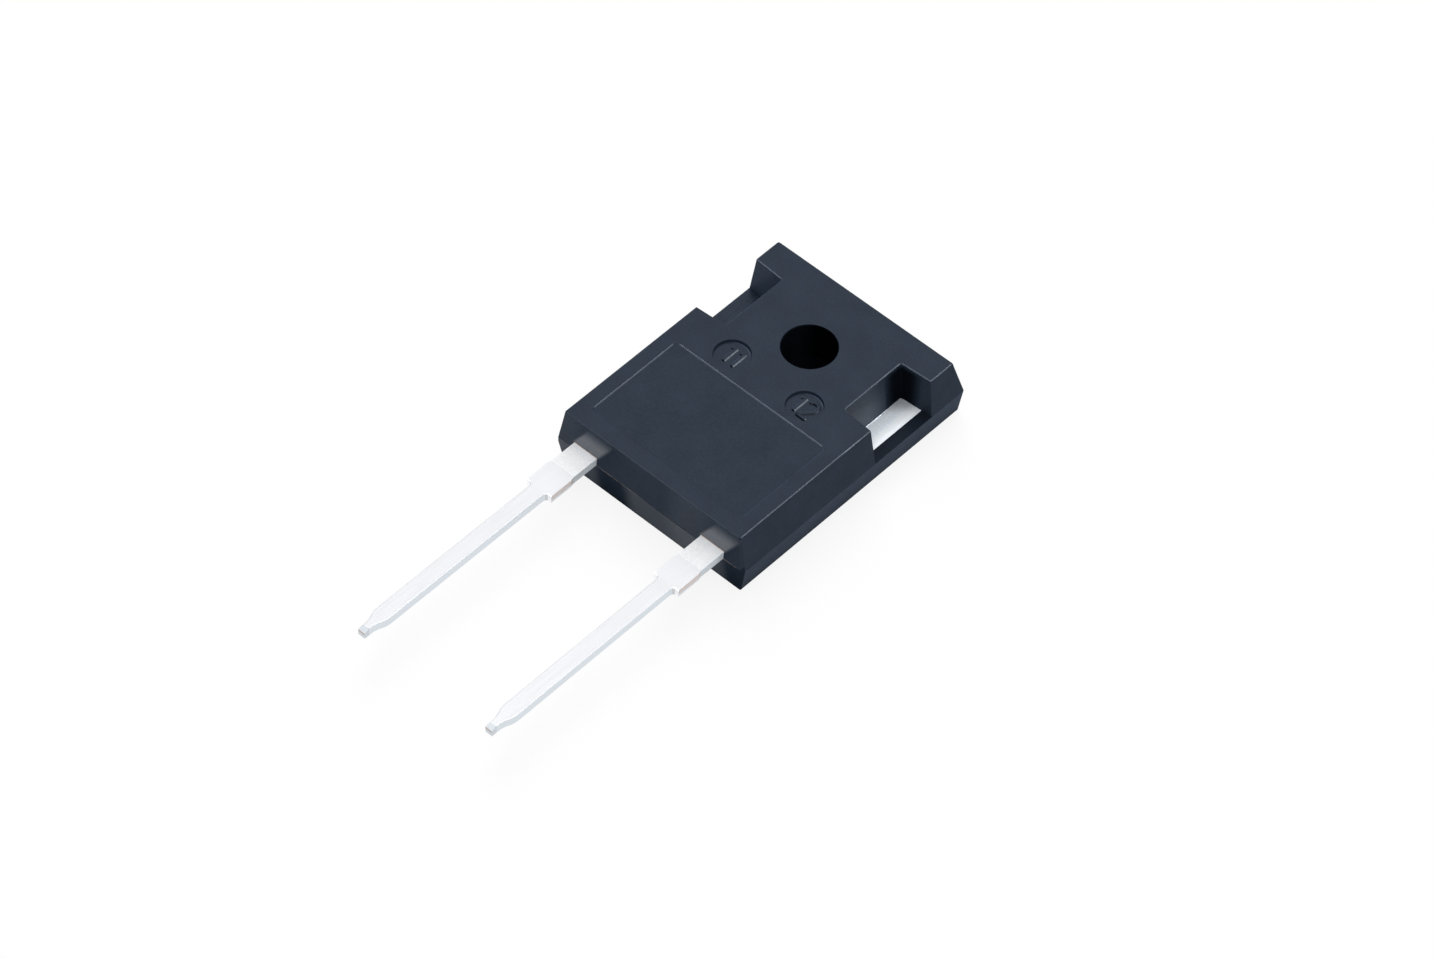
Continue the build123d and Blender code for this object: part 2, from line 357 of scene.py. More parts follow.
class Shader:
    """The node tree of one material or world, with the calls that the finishes share."""

    def __init__(self, name, store=None):
        store = bpy.data.materials if store is None else store
        self.owner = store.new(name)
        self.owner.use_nodes = True
        self.tree = self.owner.node_tree
        self.tree.nodes.clear()

    def add(self, kind, settings=None, inputs=None):
        """Adds a node: its settings first, then the values or links of its sockets."""
        node = self.tree.nodes.new(kind)
        for name, value in (settings or {}).items():
            setattr(node, name, value)
        for name, value in (inputs or {}).items():
            socket = node.inputs[name]
            if isinstance(value, Signal):
                value = value.socket
            if isinstance(value, bpy.types.NodeSocket):
                self.tree.links.new(value, socket)
            else:
                socket.default_value = value
        return node

    def place(self, stretch=(1, 1, 1)):
        """Vector socket of the place on the object in millimetres, stretched per axis."""
        coordinates = self.add("ShaderNodeTexCoord")
        scale = [share / MM for share in stretch]
        inputs = {"Vector": coordinates.outputs["Object"], "Scale": scale}
        return self.add("ShaderNodeMapping", None, inputs).outputs["Vector"]

    def axes(self, vector):
        """The three parts of a vector, as signals."""
        parts = self.add("ShaderNodeSeparateXYZ", None, {"Vector": vector})
        return [Signal(self, socket) for socket in parts.outputs]

    def facing(self):
        """The three parts of the surface's true normal, as signals."""
        return self.axes(self.add("ShaderNodeNewGeometry").outputs["True Normal"])

    def noise(self, vector, scale, detail=2.0, roughness=0.5):
        """Noise about 0.5, scale features to the millimetre."""
        inputs = {"Vector": vector, "Scale": scale, "Detail": detail, "Roughness": roughness}
        return Signal(self, self.add("ShaderNodeTexNoise", None, inputs).outputs["Fac"])

    def blend(self, factor, first, second):
        """Colour socket that goes from first to second with factor."""
        settings = {"data_type": "RGBA", "blend_type": "MIX"}
        inputs = {0: factor, 6: opaque(first), 7: opaque(second)}
        return self.add("ShaderNodeMix", settings, inputs).outputs[2]

    def shade(self, colour, amount):
        """Colour socket with its brightness multiplied by amount, a signal near 1."""
        inputs = {0: colour, "Scale": amount}
        return self.add("ShaderNodeVectorMath", {"operation": "SCALE"}, inputs).outputs[0]

    def bump(self, height, distance):
        """Normal socket for a height from 0 to 1 that stands distance metres tall."""
        inputs = {"Height": height, "Distance": distance, "Strength": 1.0}
        return self.add("ShaderNodeBump", None, inputs).outputs["Normal"]

    def seen(self):
        """1 for what is looked at, directly, in a reflection or through glass; 0 for light."""
        outputs = self.add("ShaderNodeLightPath").outputs
        kinds = ("Camera", "Glossy", "Transmission")
        camera, glossy, through = (Signal(self, outputs[f"Is {kind} Ray"]) for kind in kinds)
        return camera.at_least(glossy).at_least(through)

    def surface(self, **inputs):
        """Ends the tree in a Principled surface with those inputs; returns the material."""
        named = {name.replace("_", " "): value for name, value in inputs.items()}
        shader = self.add("ShaderNodeBsdfPrincipled", None, named)
        self.add("ShaderNodeOutputMaterial", None, {"Surface": shader.outputs[0]})
        return self.owner


def opaque(colour):
    """A colour of three numbers gets its alpha; a socket stays."""
    return colour if isinstance(colour, bpy.types.NodeSocket) else (*colour, 1)


def squared_reach(across, along):
    """Squared distance, in two directions, as a signal."""
    return across * across + along * along


def assign(material, *nodes):
    """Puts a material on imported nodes, in their objects' own slots."""
    for name in nodes:
        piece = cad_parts[name]
        if not piece.material_slots:
            piece.data.materials.append(None)
        piece.material_slots[0].link = "OBJECT"
        piece.material_slots[0].material = material


# ---------------------------------------------------------------- finishes

# where the finishes change, in millimetres from the hole axis
NOTCH_WALL = 5.3             # a notch's inner wall, at half height
NOTCH_CORNER = 2.9           # along Y, where that wall turns into the far cheek
NOTCH_EDGE = 5.4             # where the bared strip of the spreader begins
HOLE_RIM_SQUARED = 3.5       # squared radius of the hole's broken rim
BESIDE_LEAD = 2.2            # from a lead's middle to the patches at either side of it
LEAD_PATCH_LEAN = 0.65       # how far the gloss over a lead leans to +X with height

# what each small finish clouds from and to
# the flash's second colour is a painted highlight
FLASH_AND_HIGHLIGHT_COLOURS = (0.014, 0.018, 0.026), (0.095, 0.088, 0.085)
BURR_COLOURS = (0.72, 0.76, 0.80), (0.86, 0.89, 0.92)
CARBIDE_COLOURS = (0.020, 0.032, 0.028), (0.034, 0.050, 0.044)
SOLDER_COLOURS = (0.50, 0.51, 0.52), (0.66, 0.67, 0.69)
WIRE_COLOURS = (0.78, 0.79, 0.80), (0.90, 0.91, 0.92)


def skin(shader, place, settings):
    """What every moulded surface shares: its colour on the outside, uneven tone and speckle."""
    tint = shader.noise(place, scale=1.4, detail=3.0, roughness=0.6)
    cloud = shader.noise(place, scale=0.55, detail=3.0)
    speckle = shader.noise(place, scale=7.0, detail=3.0, roughness=0.7)
    colour = shader.blend(tint.rises(0.35, 0.65), settings.face_colour, settings.cloud_colour)
    return colour, 1 + (cloud - 0.5) * 0.40 + (speckle - 0.5) * 0.5, speckle


def moulded(shader, place, settings, colour, tone, gloss):
    """Ends a moulded finish: a matt skin with a fine grain, under a gloss of varied weight."""
    grain = shader.noise(place, scale=MM / settings.grain, detail=2.0, roughness=0.55)
    return shader.surface(
        Base_Color=shader.shade(colour, tone),
        Roughness=0.8,
        Specular_IOR_Level=0.0,
        Coat_Weight=gloss.at_least(0.0),
        Coat_Roughness=settings.roughness,
        Coat_IOR=1.8,
        Normal=shader.bump(grain, settings.grain_height),
    )


def epoxy_finish(settings, marks):
    """Charcoal moulding compound: a matt skin under a thin gloss that varies over the body.

    The gloss is strongest over each lead, then on the notches' inner walls and on the broken
    edges that face +X or the leads. Those edges are fainter beside the notches than beside the
    marking field, and nearly dull round the field itself. The hole, the far corner of the notch
    at +X and the wall below and beside each lead have little or none.
    Painted shade dims the compound in the hole, in that corner, on that notch's ledge, on the rim
    of the lead end and beside each lead on that wall. Painted light lifts it on all walls, most
    under the parting plane and on the far wall of the notch at -X; it adds painted highlights on
    that notch's rims, round the feet of the discs and on the broken edges, and a painted
    reflection on the notches' inner walls.
    """
    shader = Shader("moulding_compound")
    place = shader.place()
    x, y, z = shader.axes(place)
    normal_x, normal_y, normal_z = shader.facing()
    colour, tone, speckle = skin(shader, place, settings)
    front = FRONT_FACE / MM
    end = LEAD_END / MM
    under = LEAD_LOW.z / MM
    over = LEAD_HIGH.z / MM
    pitch = LEAD_CENTRE / MM
    parting = FRAME_TOP / MM
    side = abs(x)

    def at_leads(across, core, reach):
        """1 near the middle of either lead."""
        return across.near(-pitch, core, reach) + across.near(pitch, core, reach)

    # faces by their slope
    level = normal_z.rises(0.9, 0.98)
    wall = 1 - level
    sloping = normal_z.rises(0.3, 0.5) * normal_z.rises(0.97, 0.9)
    broken = sloping * (normal_x - normal_y).rises(0.2, 0.5)

    # the wall that the leads come out of
    lead_wall = y.rises(end + 0.46, end + 0.38) * wall
    lead_rim_shade = lead_wall * broken
    over_lead = at_leads(x - (z - over) * LEAD_PATCH_LEAN, 0.9, 1.2)
    over_lead = over_lead * z.rises(over - 0.1, over) * z.rises(front, over + 0.6)
    below = z.rises(under + 0.02, under - 0.02)
    # patches beside each lead, which get painted shade and less gloss
    beside = at_leads(x - BESIDE_LEAD, 0.3, 2.1)
    before = at_leads(x + BESIDE_LEAD, 0.6, 2.4)

    # the notches
    inner_wall = side.near(NOTCH_WALL, 0.3, 0.4) * abs(normal_x).rises(0.8, 0.9)
    inner_wall = inner_wall * y.rises(2.3, -0.5) * y.rises(-2.6, -2.4)
    # the inner walls are glossier and carry a painted reflection, strongest near their foot
    inner_wall = inner_wall * (1.35 - z.rises(parting + 0.12, parting + 2.22) * 0.5)
    # the far inner corner of the notch at +X, which gets painted shade and little gloss
    corner = squared_reach(side - NOTCH_WALL, y - NOTCH_CORNER).rises(2.6, 0.3)
    corner = corner * z.rises(front, front - 0.5) * wall * x.rises(-1, 1)
    # the ledge of the notch at +X, which gets painted shade and a little less gloss
    ledge = level * z.rises(front - 1, front - 1.5) * x.rises(-1, 1)
    # the far wall of the notch at -X, which gets painted light
    far_notch_light = wall * x.rises(-5.1, -5.4) * y.rises(2.3, 2.6)
    far_notch_light = far_notch_light * z.rises(parting + 0.02, parting + 0.04)
    # rims facing -X in that notch, which get a painted highlight
    far_rim_highlight = sloping * (-normal_x).rises(0.2, 0.5) * x.rises(-5.9, -5.6)

    # the sunken discs, the hole, the marking field and the walls' foot
    disc_x, disc_y = side - marks.spacing / MM / 2, y + marks.offset / MM
    disc = squared_reach(disc_x, disc_y).root() - marks.disc_radius / MM
    # a thin ring at the foot of each disc's far wall, which gets a painted highlight
    disc_foot_highlight = disc.rises(-0.13, -0.09) * disc.rises(-0.03, -0.06)
    disc_foot_highlight = disc_foot_highlight * disc_y.rises(0.7, 1.0) * level * z.rises(front - 0.1, front - 0.15)
    hole = squared_reach(x, y).rises(HOLE_RIM_SQUARED + 0.1, HOLE_RIM_SQUARED)
    sunken = z.rises(front - 0.01, front - 0.03) * z.rises(front - 0.2, front - 0.15)
    field_edge = sunken * broken * y.rises(-4.8, -5.2)
    # the walls under the parting plane, away from the lead end, which get painted light
    foot = z.rises(parting + 0.02, parting - 0.04) * wall * (1 - lead_wall)

    gloss = settings.wall_gloss + level * (settings.gloss - settings.wall_gloss)
    edge = broken * (1 - lead_wall)
    faint = y.rises(-4.2, -3.2) * 0.55 - y.rises(-0.6, 0.6) * 0.15 + field_edge * 0.8
    gloss = gloss + edge * (settings.edge_gloss * (1 - faint)) + inner_wall * 0.38
    gloss = gloss + lead_wall * (1 - broken) * (over_lead * 0.93 + before * 0.1)
    gloss = gloss + lead_wall * below * (0.10 - beside * 0.24)
    gloss = gloss - hole - corner * 0.6 - ledge * 0.1
    gloss = gloss * (1 + (speckle - 0.5) * 0.5)

    # painted shade in the hole, a little less towards -X
    painted_hole_shade = hole * (1.25 - x.rises(-0.8, -1.8) * 0.25)
    # painted shade in the hole, in that corner and on that ledge
    painted_shade = painted_hole_shade + corner * 1.1 + ledge * 0.45
    # painted light on the far wall of the notch at -X; painted highlights on its rims, round the
    # feet of the discs and on the broken edges; a painted reflection on the notches' inner walls
    painted_light = far_notch_light * 0.55 + far_rim_highlight * 0.7 + disc_foot_highlight * 1.4 + edge * 0.2 + inner_wall * 0.3
    # painted light on all walls, more under the parting plane except in the hole; then the
    # painted shade and the painted light above
    tone = tone * (1 + wall * 0.3 + foot * (0.65 - hole * 0.55) - painted_shade) * (1 + painted_light)
    # painted shade on the rim of the lead end, and beside each lead on that wall, most under the
    # leads
    tone = tone * (1 - lead_rim_shade * 0.1 - lead_wall * beside * (0.15 + below * 0.25))
    colour = shader.blend(sunken, colour, settings.field_colour)
    return moulded(shader, place, settings, colour, tone, gloss)


def mark_finish(settings):
    """The raised numbers: glossy on the flanks towards +X, with a painted highlight on the flanks
    towards -X and painted shade and no gloss on the ends towards the leads.
    """
    shader = Shader("raised_marks")
    place = shader.place()
    normal_x, normal_y, normal_z = shader.facing()
    colour, tone, _ = skin(shader, place, settings)
    sloping = normal_z.rises(0.97, 0.9)
    flank = normal_x.rises(0.3, 0.6) * sloping
    far_flank_highlight = (-normal_x).rises(0.3, 0.6) * sloping
    end = (-normal_y).rises(0.3, 0.6)
    gloss = settings.gloss + flank * (settings.mark_gloss - settings.gloss) - end * settings.gloss
    # painted highlight on the flanks towards -X, painted shade on the ends towards the leads
    tone = tone * (1 + far_flank_highlight * 0.9 - end * 0.6)
    return moulded(shader, place, settings, colour, tone, gloss)


def flash_finish():
    """Thin flash of the compound's resin: dark near the anode lead, and beyond it pale and brown,
    which is a painted highlight.
    """
    shader = Shader("flash")
    place = shader.place()
    x, _, _ = shader.axes(place)
    cloud = shader.noise(place, scale=2.5, detail=3.0)
    # painted highlight: pale and brown away from the anode lead
    pale = (x + (cloud - 0.5) * 3).rises(0.6, -1.2) + x.rises(6.2, 6.5)
    colour = shader.blend(pale, *FLASH_AND_HIGHLIGHT_COLOURS)
    return shader.surface(Base_Color=colour, Roughness=0.45 + cloud * 0.2, Specular_IOR_Level=0.3)


def tin_finish(settings):
    """Matt tin over copper.

    The tin is mottled on the neck, which the mould clamped, and has faint draw lines beyond it.
    Copper shows where the dam bar and the tip were sheared, and in a hairline at the body. The
    strip that the notches bare has a painted highlight towards its outer rim and painted shade
    towards its far end. The cut sides and the coined tips have painted shade; the broken edges
    have painted shade beyond the neck and a painted highlight on it; the neck has painted light
    near the body and a painted highlight along the line where it leaves the body.
    """
    shader = Shader("tinned_copper")
    place = shader.place()
    x, y, z = shader.axes(place)
    normal_x, normal_y, normal_z = shader.facing()
    end = LEAD_END / MM
    top = LEAD_HIGH.z / MM
    foot = LEAD_LOW.z / MM
    tip_end = LEAD_LOW.y / MM
    spreader_edge = FRAME_HIGH.x / MM
    dam_bar = end - settings.dam_bar_distance / MM
    shoulder = end - settings.shoulder_distance / MM
    side = abs(x)
    turned = abs(normal_x)
    grain = shader.noise(place, scale=14.0, detail=2.0, roughness=0.6)
    mottle = shader.noise(place, scale=6.0, detail=3.0, roughness=0.65)
    draw = shader.noise(shader.place(stretch=(9, 0.35, 9)), scale=1.0, detail=2.0)
    streak = shader.noise(shader.place(stretch=(1, 1.6, 9)), scale=1.0, detail=2.0)

    # the lead, from the body to its tip
    outside = y.rises(end + 0.5, end + 0.4)
    neck = y.rises(dam_bar - 0.02, dam_bar + 0.02)
    beyond = 1 - neck
    near_body_light = y.rises(end - 1.6, end) * outside
    hairline = y.rises(end + 0.01, end + 0.04) * outside
    body_line_highlight = y.rises(end - 0.03, end) * outside
    dam_line = y.near(dam_bar, 0.01, 0.05)
    sides = turned.rises(0.8, 0.95)
    broken = turned.rises(0.3, 0.5) * turned.rises(0.92, 0.85)
    sheared = sides * y.rises(shoulder - 0.05, shoulder) * y.rises(dam_bar, dam_bar - 0.1)
    sheared = sheared * (z + streak * 0.5).rises(foot + 0.3, foot + 0.48)
    coined = y.rises(tip_end + 0.44, tip_end + 0.38)
    tip = (-normal_y).rises(0.5, 0.9) * y.rises(tip_end + 0.1, tip_end + 0.05)
    tip = tip * z.rises(top - 0.3, top - 0.25)

    # the spreader's front, where the notches bare it
    inside = 1 - outside
    bared = inside * normal_z.rises(0.5, 0.9)
    rim = side.rises(spreader_edge - 1.0, spreader_edge - 0.1) * bared
    far_end_shade = (y - (side - NOTCH_EDGE) * 1.2).rises(0.6, 2.4) * bared

    copper = sheared * 0.45 + tip * 0.7 + hairline * 0.6
    colour = shader.blend(neck * outside, settings.tin_colour, settings.neck_colour)
    colour = shader.blend(inside, colour, settings.spreader_colour)
    # painted shade: the cut sides and the coined tips take the side shade colour
    colour = shader.blend(sides + coined, colour, settings.side_shade_colour)
    colour = shader.blend(copper, colour, settings.copper_colour)
    tone = 1 + (draw - 0.5) * 0.06 + (grain - 0.5) * 0.02 + (mottle - 0.5) * (0.02 + neck * 0.26)
    # painted highlight along the body's edge, painted light near the body, painted shade on the
    # coined tips
    tone = tone - dam_line * 0.06 + body_line_highlight * 0.08 + near_body_light * 0.1 - coined * 0.13
    # painted highlight towards the spreader's outer rim, painted shade towards the notch's far
    # end
    tone = tone + rim * 0.28 - far_end_shade * 0.42
    tone = tone + y.rises(shoulder - 0.3, shoulder + 0.3) * beyond * 0.03
    # painted shade on the broken edges beyond the neck, painted highlight on the neck's
    tone = tone - broken * beyond * 0.22 + broken * neck * outside * 0.1
    roughness = settings.roughness + (draw - 0.5) * 0.15 + neck * 0.2 + broken * beyond * 0.3
    return shader.surface(
        Base_Color=shader.shade(colour, tone),
        Metallic=1 - neck * 0.5 - rim * 0.3,
        Roughness=roughness,
        Normal=shader.bump(grain, 0.0003 * MM),
    )


def clouded(name, colours, vary, scale, detail=2.0, stretch=(1, 1, 1), **inputs):
    """A small piece's finish: one noise drives its colour and, from vary, its roughness."""
    shader = Shader(name)
    cloud = shader.noise(shader.place(stretch), scale, detail)
    colour = shader.blend(cloud, *colours)
    least, spread = vary
    return shader.surface(Base_Color=colour, Roughness=least + cloud * spread, **inputs)


def burr_finish():
    """Tin that was squeezed up along the mould's edge: smoother than the rest."""
    return clouded("tin_burr", BURR_COLOURS, (0.22, 0.12), scale=3.0, Metallic=1.0)


def carbide_finish():
    """The diode die: near-black, glassy, a little green."""
    return clouded("silicon_carbide", CARBIDE_COLOURS, (0.12, 0.08), scale=3.0, IOR=2.6)


def solder_finish():
    """Solder under the die: soft grey metal with a dendritic cloud."""
    return clouded("solder", SOLDER_COLOURS, (0.32, 0.14), scale=11.0, detail=4.0, Metallic=1.0)


def aluminium_finish():
    """Bond wire: soft drawn aluminium."""
    along_wire = (12, 2, 12)
    return clouded(
        "aluminium_wire", WIRE_COLOURS, (0.26, 0.12), scale=1.0, stretch=along_wire, Metallic=1.0
    )


# ---------------------------------------------------------------- surfaces

def carried_mesh(name, parts):
    """Mesh of profiles carried along open paths, several parts in one.

    Each part is an array of rings with the shape (stations, corners, 3). Corner j of station i
    joins corner j + 1 of station i + 1. The profile is a closed loop, and a path ends in caps.
    """
    points = []
    faces = []
    first = 0
    for rings in parts:
        stations, corners, _ = rings.shape
        index = first + np.arange(stations * corners).reshape(stations, corners)
        here, ahead = index[:-1], index[1:]
        quads = np.stack([here, ahead, np.roll(ahead, -1, axis=1), np.roll(here, -1, axis=1)], -1)
        faces += quads.reshape(-1, 4).tolist()
        faces += [index[0].tolist(), index[-1][::-1].tolist()]
        points.append(rings.reshape(-1, 3))
        first += stations * corners
    mesh = bpy.data.meshes.new(name)
    mesh.from_pydata(np.concatenate(points).tolist(), [], faces)
    mesh.validate()
    return mesh


def add_piece(name, parts, material, smooth=True):
    """A new piece of the object: meshed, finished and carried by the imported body."""
    mesh = carried_mesh(name, parts)
    if smooth:
        mesh.shade_smooth()
    mesh.materials.append(material)
    piece = bpy.data.objects.new(name, mesh)
    bpy.context.scene.collection.objects.link(piece)
    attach(piece, "root")


def distances(path):
    """Distance of each point of a path from its start, along the path."""
    steps = np.linalg.norm(np.diff(path, axis=0), axis=1)
    return np.concatenate([[0], np.cumsum(steps)])


def even_points(corners, step):
    """Points at even steps along a chain of corner points."""
    along = distances(corners)
    wanted = np.linspace(0, along[-1], max(3, round(along[-1] / step) + 1))
    axes = [np.interp(wanted, along, corners[:, axis]) for axis in range(corners.shape[1])]
    return np.stack(axes, -1)


def arc(centre, radii, start, end, count=20):
    """Points on an ellipse between two angles, in degrees."""
    turn = np.radians(np.linspace(start, end, count))
    across = centre[0] + radii[0] * np.cos(turn)
    return np.stack([across, centre[1] + radii[1] * np.sin(turn)], -1)


def sideways(path):
    """Unit vectors to the right of a level path, one for each point."""
    along = np.gradient(path, axis=0)
    along /= np.linalg.norm(along, axis=1, keepdims=True)
    return np.stack([along[:, 1], -along[:, 0]], -1)


# a stroke's profile: share of the half width across, share of the height up
STROKE_PROFILE = np.array([
    (1.0, 0.0), (0.52, 0.9), (0.44, 1.0), (-0.44, 1.0), (-0.52, 0.9), (-1.0, 0.0),
])
STROKE_END = 0.3             # length of a stroke's sloped end, as a share of its width
STROKE_TIP = 0.05            # share of its size that a stroke keeps at its very end
STROKE_STEPS = 10            # points along a stroke, to one width of it
STROKE_SUNK = 0.01 * MM      # how far a stroke's foot is under its disc's floor

# strokes of the digits in a box one unit high: chains of corner points
DIGIT_STROKES = {
    "1": [[(0.02, 0.80), (0.26, 0.98)], [(0.26, 1.0), (0.26, 0.0)]],
    "2": [[*arc((0.29, 0.70), (0.27, 0.28), 160, -25), (0.02, 0.02), (0.58, 0.02)]],
}
DIGIT_WIDTHS = {"1": 0.28, "2": 0.56}
DIGIT_GAP = 0.2


def raised_stroke(path, width, foot, top):
    """Rings of a raised stroke: a flat-topped ridge with sloped flanks and ends.

    The profile is a trapezoid whose corners are a little broken. Towards both ends it gets
    narrower and lower in a straight line, over the length of a flank.
    """
    across = sideways(path)
    along = distances(path)
    to_end = np.minimum(along, along[-1] - along)
    size = np.clip(to_end / (width * STROKE_END), STROKE_TIP, 1)
    spread = (size[:, None] * STROKE_PROFILE[None, :, 0]) * width / 2
    level = path[:, None, :] + across[:, None, :] * spread[..., None]
    rise = foot + (top - foot) * size[:, None] * STROKE_PROFILE[None, :, 1]
    return np.concatenate([level, rise[..., None]], -1)


def number_parts(text, centre, settings):
    """The raised strokes of a number that is centred on a sunken disc."""
    width = sum(DIGIT_WIDTHS[digit] for digit in text) + DIGIT_GAP * (len(text) - 1)
    foot = FRONT_FACE - settings.disc_depth
    left = -width / 2
    parts = []
    for digit in text:
        for stroke in DIGIT_STROKES[digit]:
            corners = (np.asarray(stroke, float) + (left, -0.5)) * settings.height + centre
            path = even_points(corners, settings.stroke / STROKE_STEPS)
            top = foot + settings.relief
            parts.append(raised_stroke(path, settings.stroke, foot - STROKE_SUNK, top))
        left += DIGIT_WIDTHS[digit] + DIGIT_GAP
    return parts


BLEED_ENDS = -2.35 * MM, 3.0 * MM      # along Y
BLEED_TUCKED = 0.1 * MM                # how far the film starts outside the spreader's edge
BLEED_REACH = 0.36                     # least width on the spreader, in millimetres
BLEED_WANDER = 0.14                    # how much wider it gets where it wanders in
BLEED_HALF_HEIGHT = 0.02 * MM


def bleed_parts():
    """Film of compound that bled over the spreader's edge in the notch at -X.

    A thin lens carried along Y: its outer edge is straight, under the ledge's face, and its
    inner edge wanders in a few sines of y.
    """
    low, high = BLEED_ENDS
    y = np.linspace(low, high, 120)
    turn = np.linspace(0, 2 * np.pi, 12, endpoint=False)
    at = y / MM
    wander = 0.5 + 0.22 * np.sin(at * 2.1) + 0.16 * np.sin(at * 5.3 + 1) + 0.08 * np.sin(at * 13)
    outer = FRAME_LOW.x - BLEED_TUCKED
    inner = FRAME_LOW.x + (BLEED_REACH + BLEED_WANDER * wander) * MM
    middle = (outer + inner) / 2
    half = (inner - outer) / 2
    x = middle[:, None] + half[:, None] * np.cos(turn)[None]
    z = FRAME_TOP + BLEED_HALF_HEIGHT * np.sin(turn)[None] + np.zeros_like(x)
    return [np.stack([x, np.broadcast_to(y[:, None], x.shape), z], -1)]


FLASH_INSET = 0.35 * MM      # from the flash's outer ends to the body's sides
FLASH_GAP = 1.0 * MM         # from a lead's middle to the ends of the flash beside it
FLASH_STEP = 0.08 * MM
FLASH_SUNK = 0.004 * MM      # how far its middle is inside the wall


def flash_parts():
    """Fine ridge of flash along the lead end's parting line, broken by the leads.

    A half round carried along X. Its height follows a sine of x with a second, faster one.
    """
    reach = BODY_HIGH.x - FLASH_INSET
    near = LEAD_CENTRE - FLASH_GAP
    far = LEAD_CENTRE + FLASH_GAP
    turn = np.linspace(np.pi, 0, 7)
    parts = []
    for start, stop in ((-reach, -far), (-near, near), (far, reach)):
        x = np.linspace(start, stop, max(12, round((stop - start) / FLASH_STEP)))
        size = (0.028 + 0.008 * np.sin(x / MM * 3.1) + 0.006 * np.sin(x / MM * 11)) * MM
        y = LEAD_END + FLASH_SUNK - size[:, None] * np.sin(turn)[None]
        z = LEAD_LOW.z + size[:, None] * np.cos(turn)[None]
        parts.append(np.stack([np.broadcast_to(x[:, None], y.shape), y, z], -1))
    return parts


BURR_ENDS = -2.0, 1.9        # along Y, in millimetres
BURR_FADE = 1.0 * MM         # length over which it goes to nothing at each end
BURR_LEAST = 0.08            # share of its height that it keeps at the very end
BURR_SUNK = 0.004 * MM       # how far its middle is under the spreader's front


def burr_parts(settings):
    """Burr on the spreader along the foot of each notch's inner wall.

    A half round carried along Y, whose height follows two sines of y and goes to nothing
    towards both ends.
    """
    low, high = BURR_ENDS
    y = np.linspace(low, high, 90) * MM
    turn = np.linspace(np.pi, 0, 8)
    to_end = (high - low) / 2 * MM - np.abs(y - (low + high) / 2 * MM)
    fade = np.clip(to_end / BURR_FADE, BURR_LEAST, 1)
    ripple = 0.006 * np.sin(y / MM * 2.7) + 0.004 * np.sin(y / MM * 9)
    size = (settings.burr / MM + ripple) * MM * fade
    z = FRAME_TOP - BURR_SUNK + size[:, None] * np.sin(turn)[None]
    along = np.broadcast_to(y[:, None], z.shape)
    parts = []
    for side in (-1, 1):
        x = side * (settings.wall + size[:, None]) - size[:, None] * np.cos(turn)[None]
        parts.append(np.stack([x, along, z], -1))
    return parts


# ---------------------------------------------------------------- operators

class DIODE_OT_body(bpy.types.Operator):
    """Finish the moulded body"""

    bl_idname = "diode.body"
    bl_label = "Moulded body"

    def execute(self, context):
        scene = context.scene
        assign(epoxy_finish(scene.diode_epoxy, scene.diode_marks), "moulded_body")
        return {"FINISHED"}


class DIODE_OT_leads(bpy.types.Operator):
    """Finish both leads and the heat spreader"""

    bl_idname = "diode.leads"
    bl_label = "Leads and spreader"

    def execute(self, context):
        assign(tin_finish(context.scene.diode_lead), "anode_lead", "cathode_leadframe")
        return {"FINISHED"}


class DIODE_OT_inner_pieces(bpy.types.Operator):
    """Finish the die, its solder and its bond wires"""

    bl_idname = "diode.inner_pieces"
    bl_label = "Die, solder and wires"

    def execute(self, context):
        assign(carbide_finish(), "sic_die")
        assign(solder_finish(), "die_solder")
        wires = [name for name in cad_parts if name.startswith("bond_wire")]
        assign(aluminium_finish(), *wires)
        return {"FINISHED"}


class DIODE_OT_numbers(bpy.types.Operator):
    """Raise a plain number in each ejector mark"""

    bl_idname = "diode.numbers"
    bl_label = "Raised numbers"

    def execute(self, context):
        settings = context.scene.diode_marks
        material = mark_finish(context.scene.diode_epoxy)
        for side, name, text in ((-1, "mark_left", "11"), (1, "mark_right", "12")):
            centre = (side * settings.spacing / 2, -settings.offset)
            parts = number_parts(text, centre, settings)
            add_piece(name, parts, material, smooth=False)
        return {"FINISHED"}


class DIODE_OT_bleed(bpy.types.Operator):
    """Lay the film of compound over the spreader's edge in the far notch"""

    bl_idname = "diode.bleed"
    bl_label = "Bleed film"

    def execute(self, context):
        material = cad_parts["moulded_body"].material_slots[0].material
        add_piece("bleed_film", bleed_parts(), material)
        return {"FINISHED"}


class DIODE_OT_burr(bpy.types.Operator):
    """Raise the burr along the foot of each notch's inner wall"""

    bl_idname = "diode.burr"
    bl_label = "Tin burr"

    def execute(self, context):
        parts = burr_parts(context.scene.diode_lead)
        add_piece("tin_burr", parts, burr_finish())
        return {"FINISHED"}


class DIODE_OT_flash(bpy.types.Operator):
    """Run the fine ridge of flash along the lead end's parting line"""

    bl_idname = "diode.flash"
    bl_label = "Parting flash"

    def execute(self, context):
        add_piece("parting_flash", flash_parts(), flash_finish())
        return {"FINISHED"}


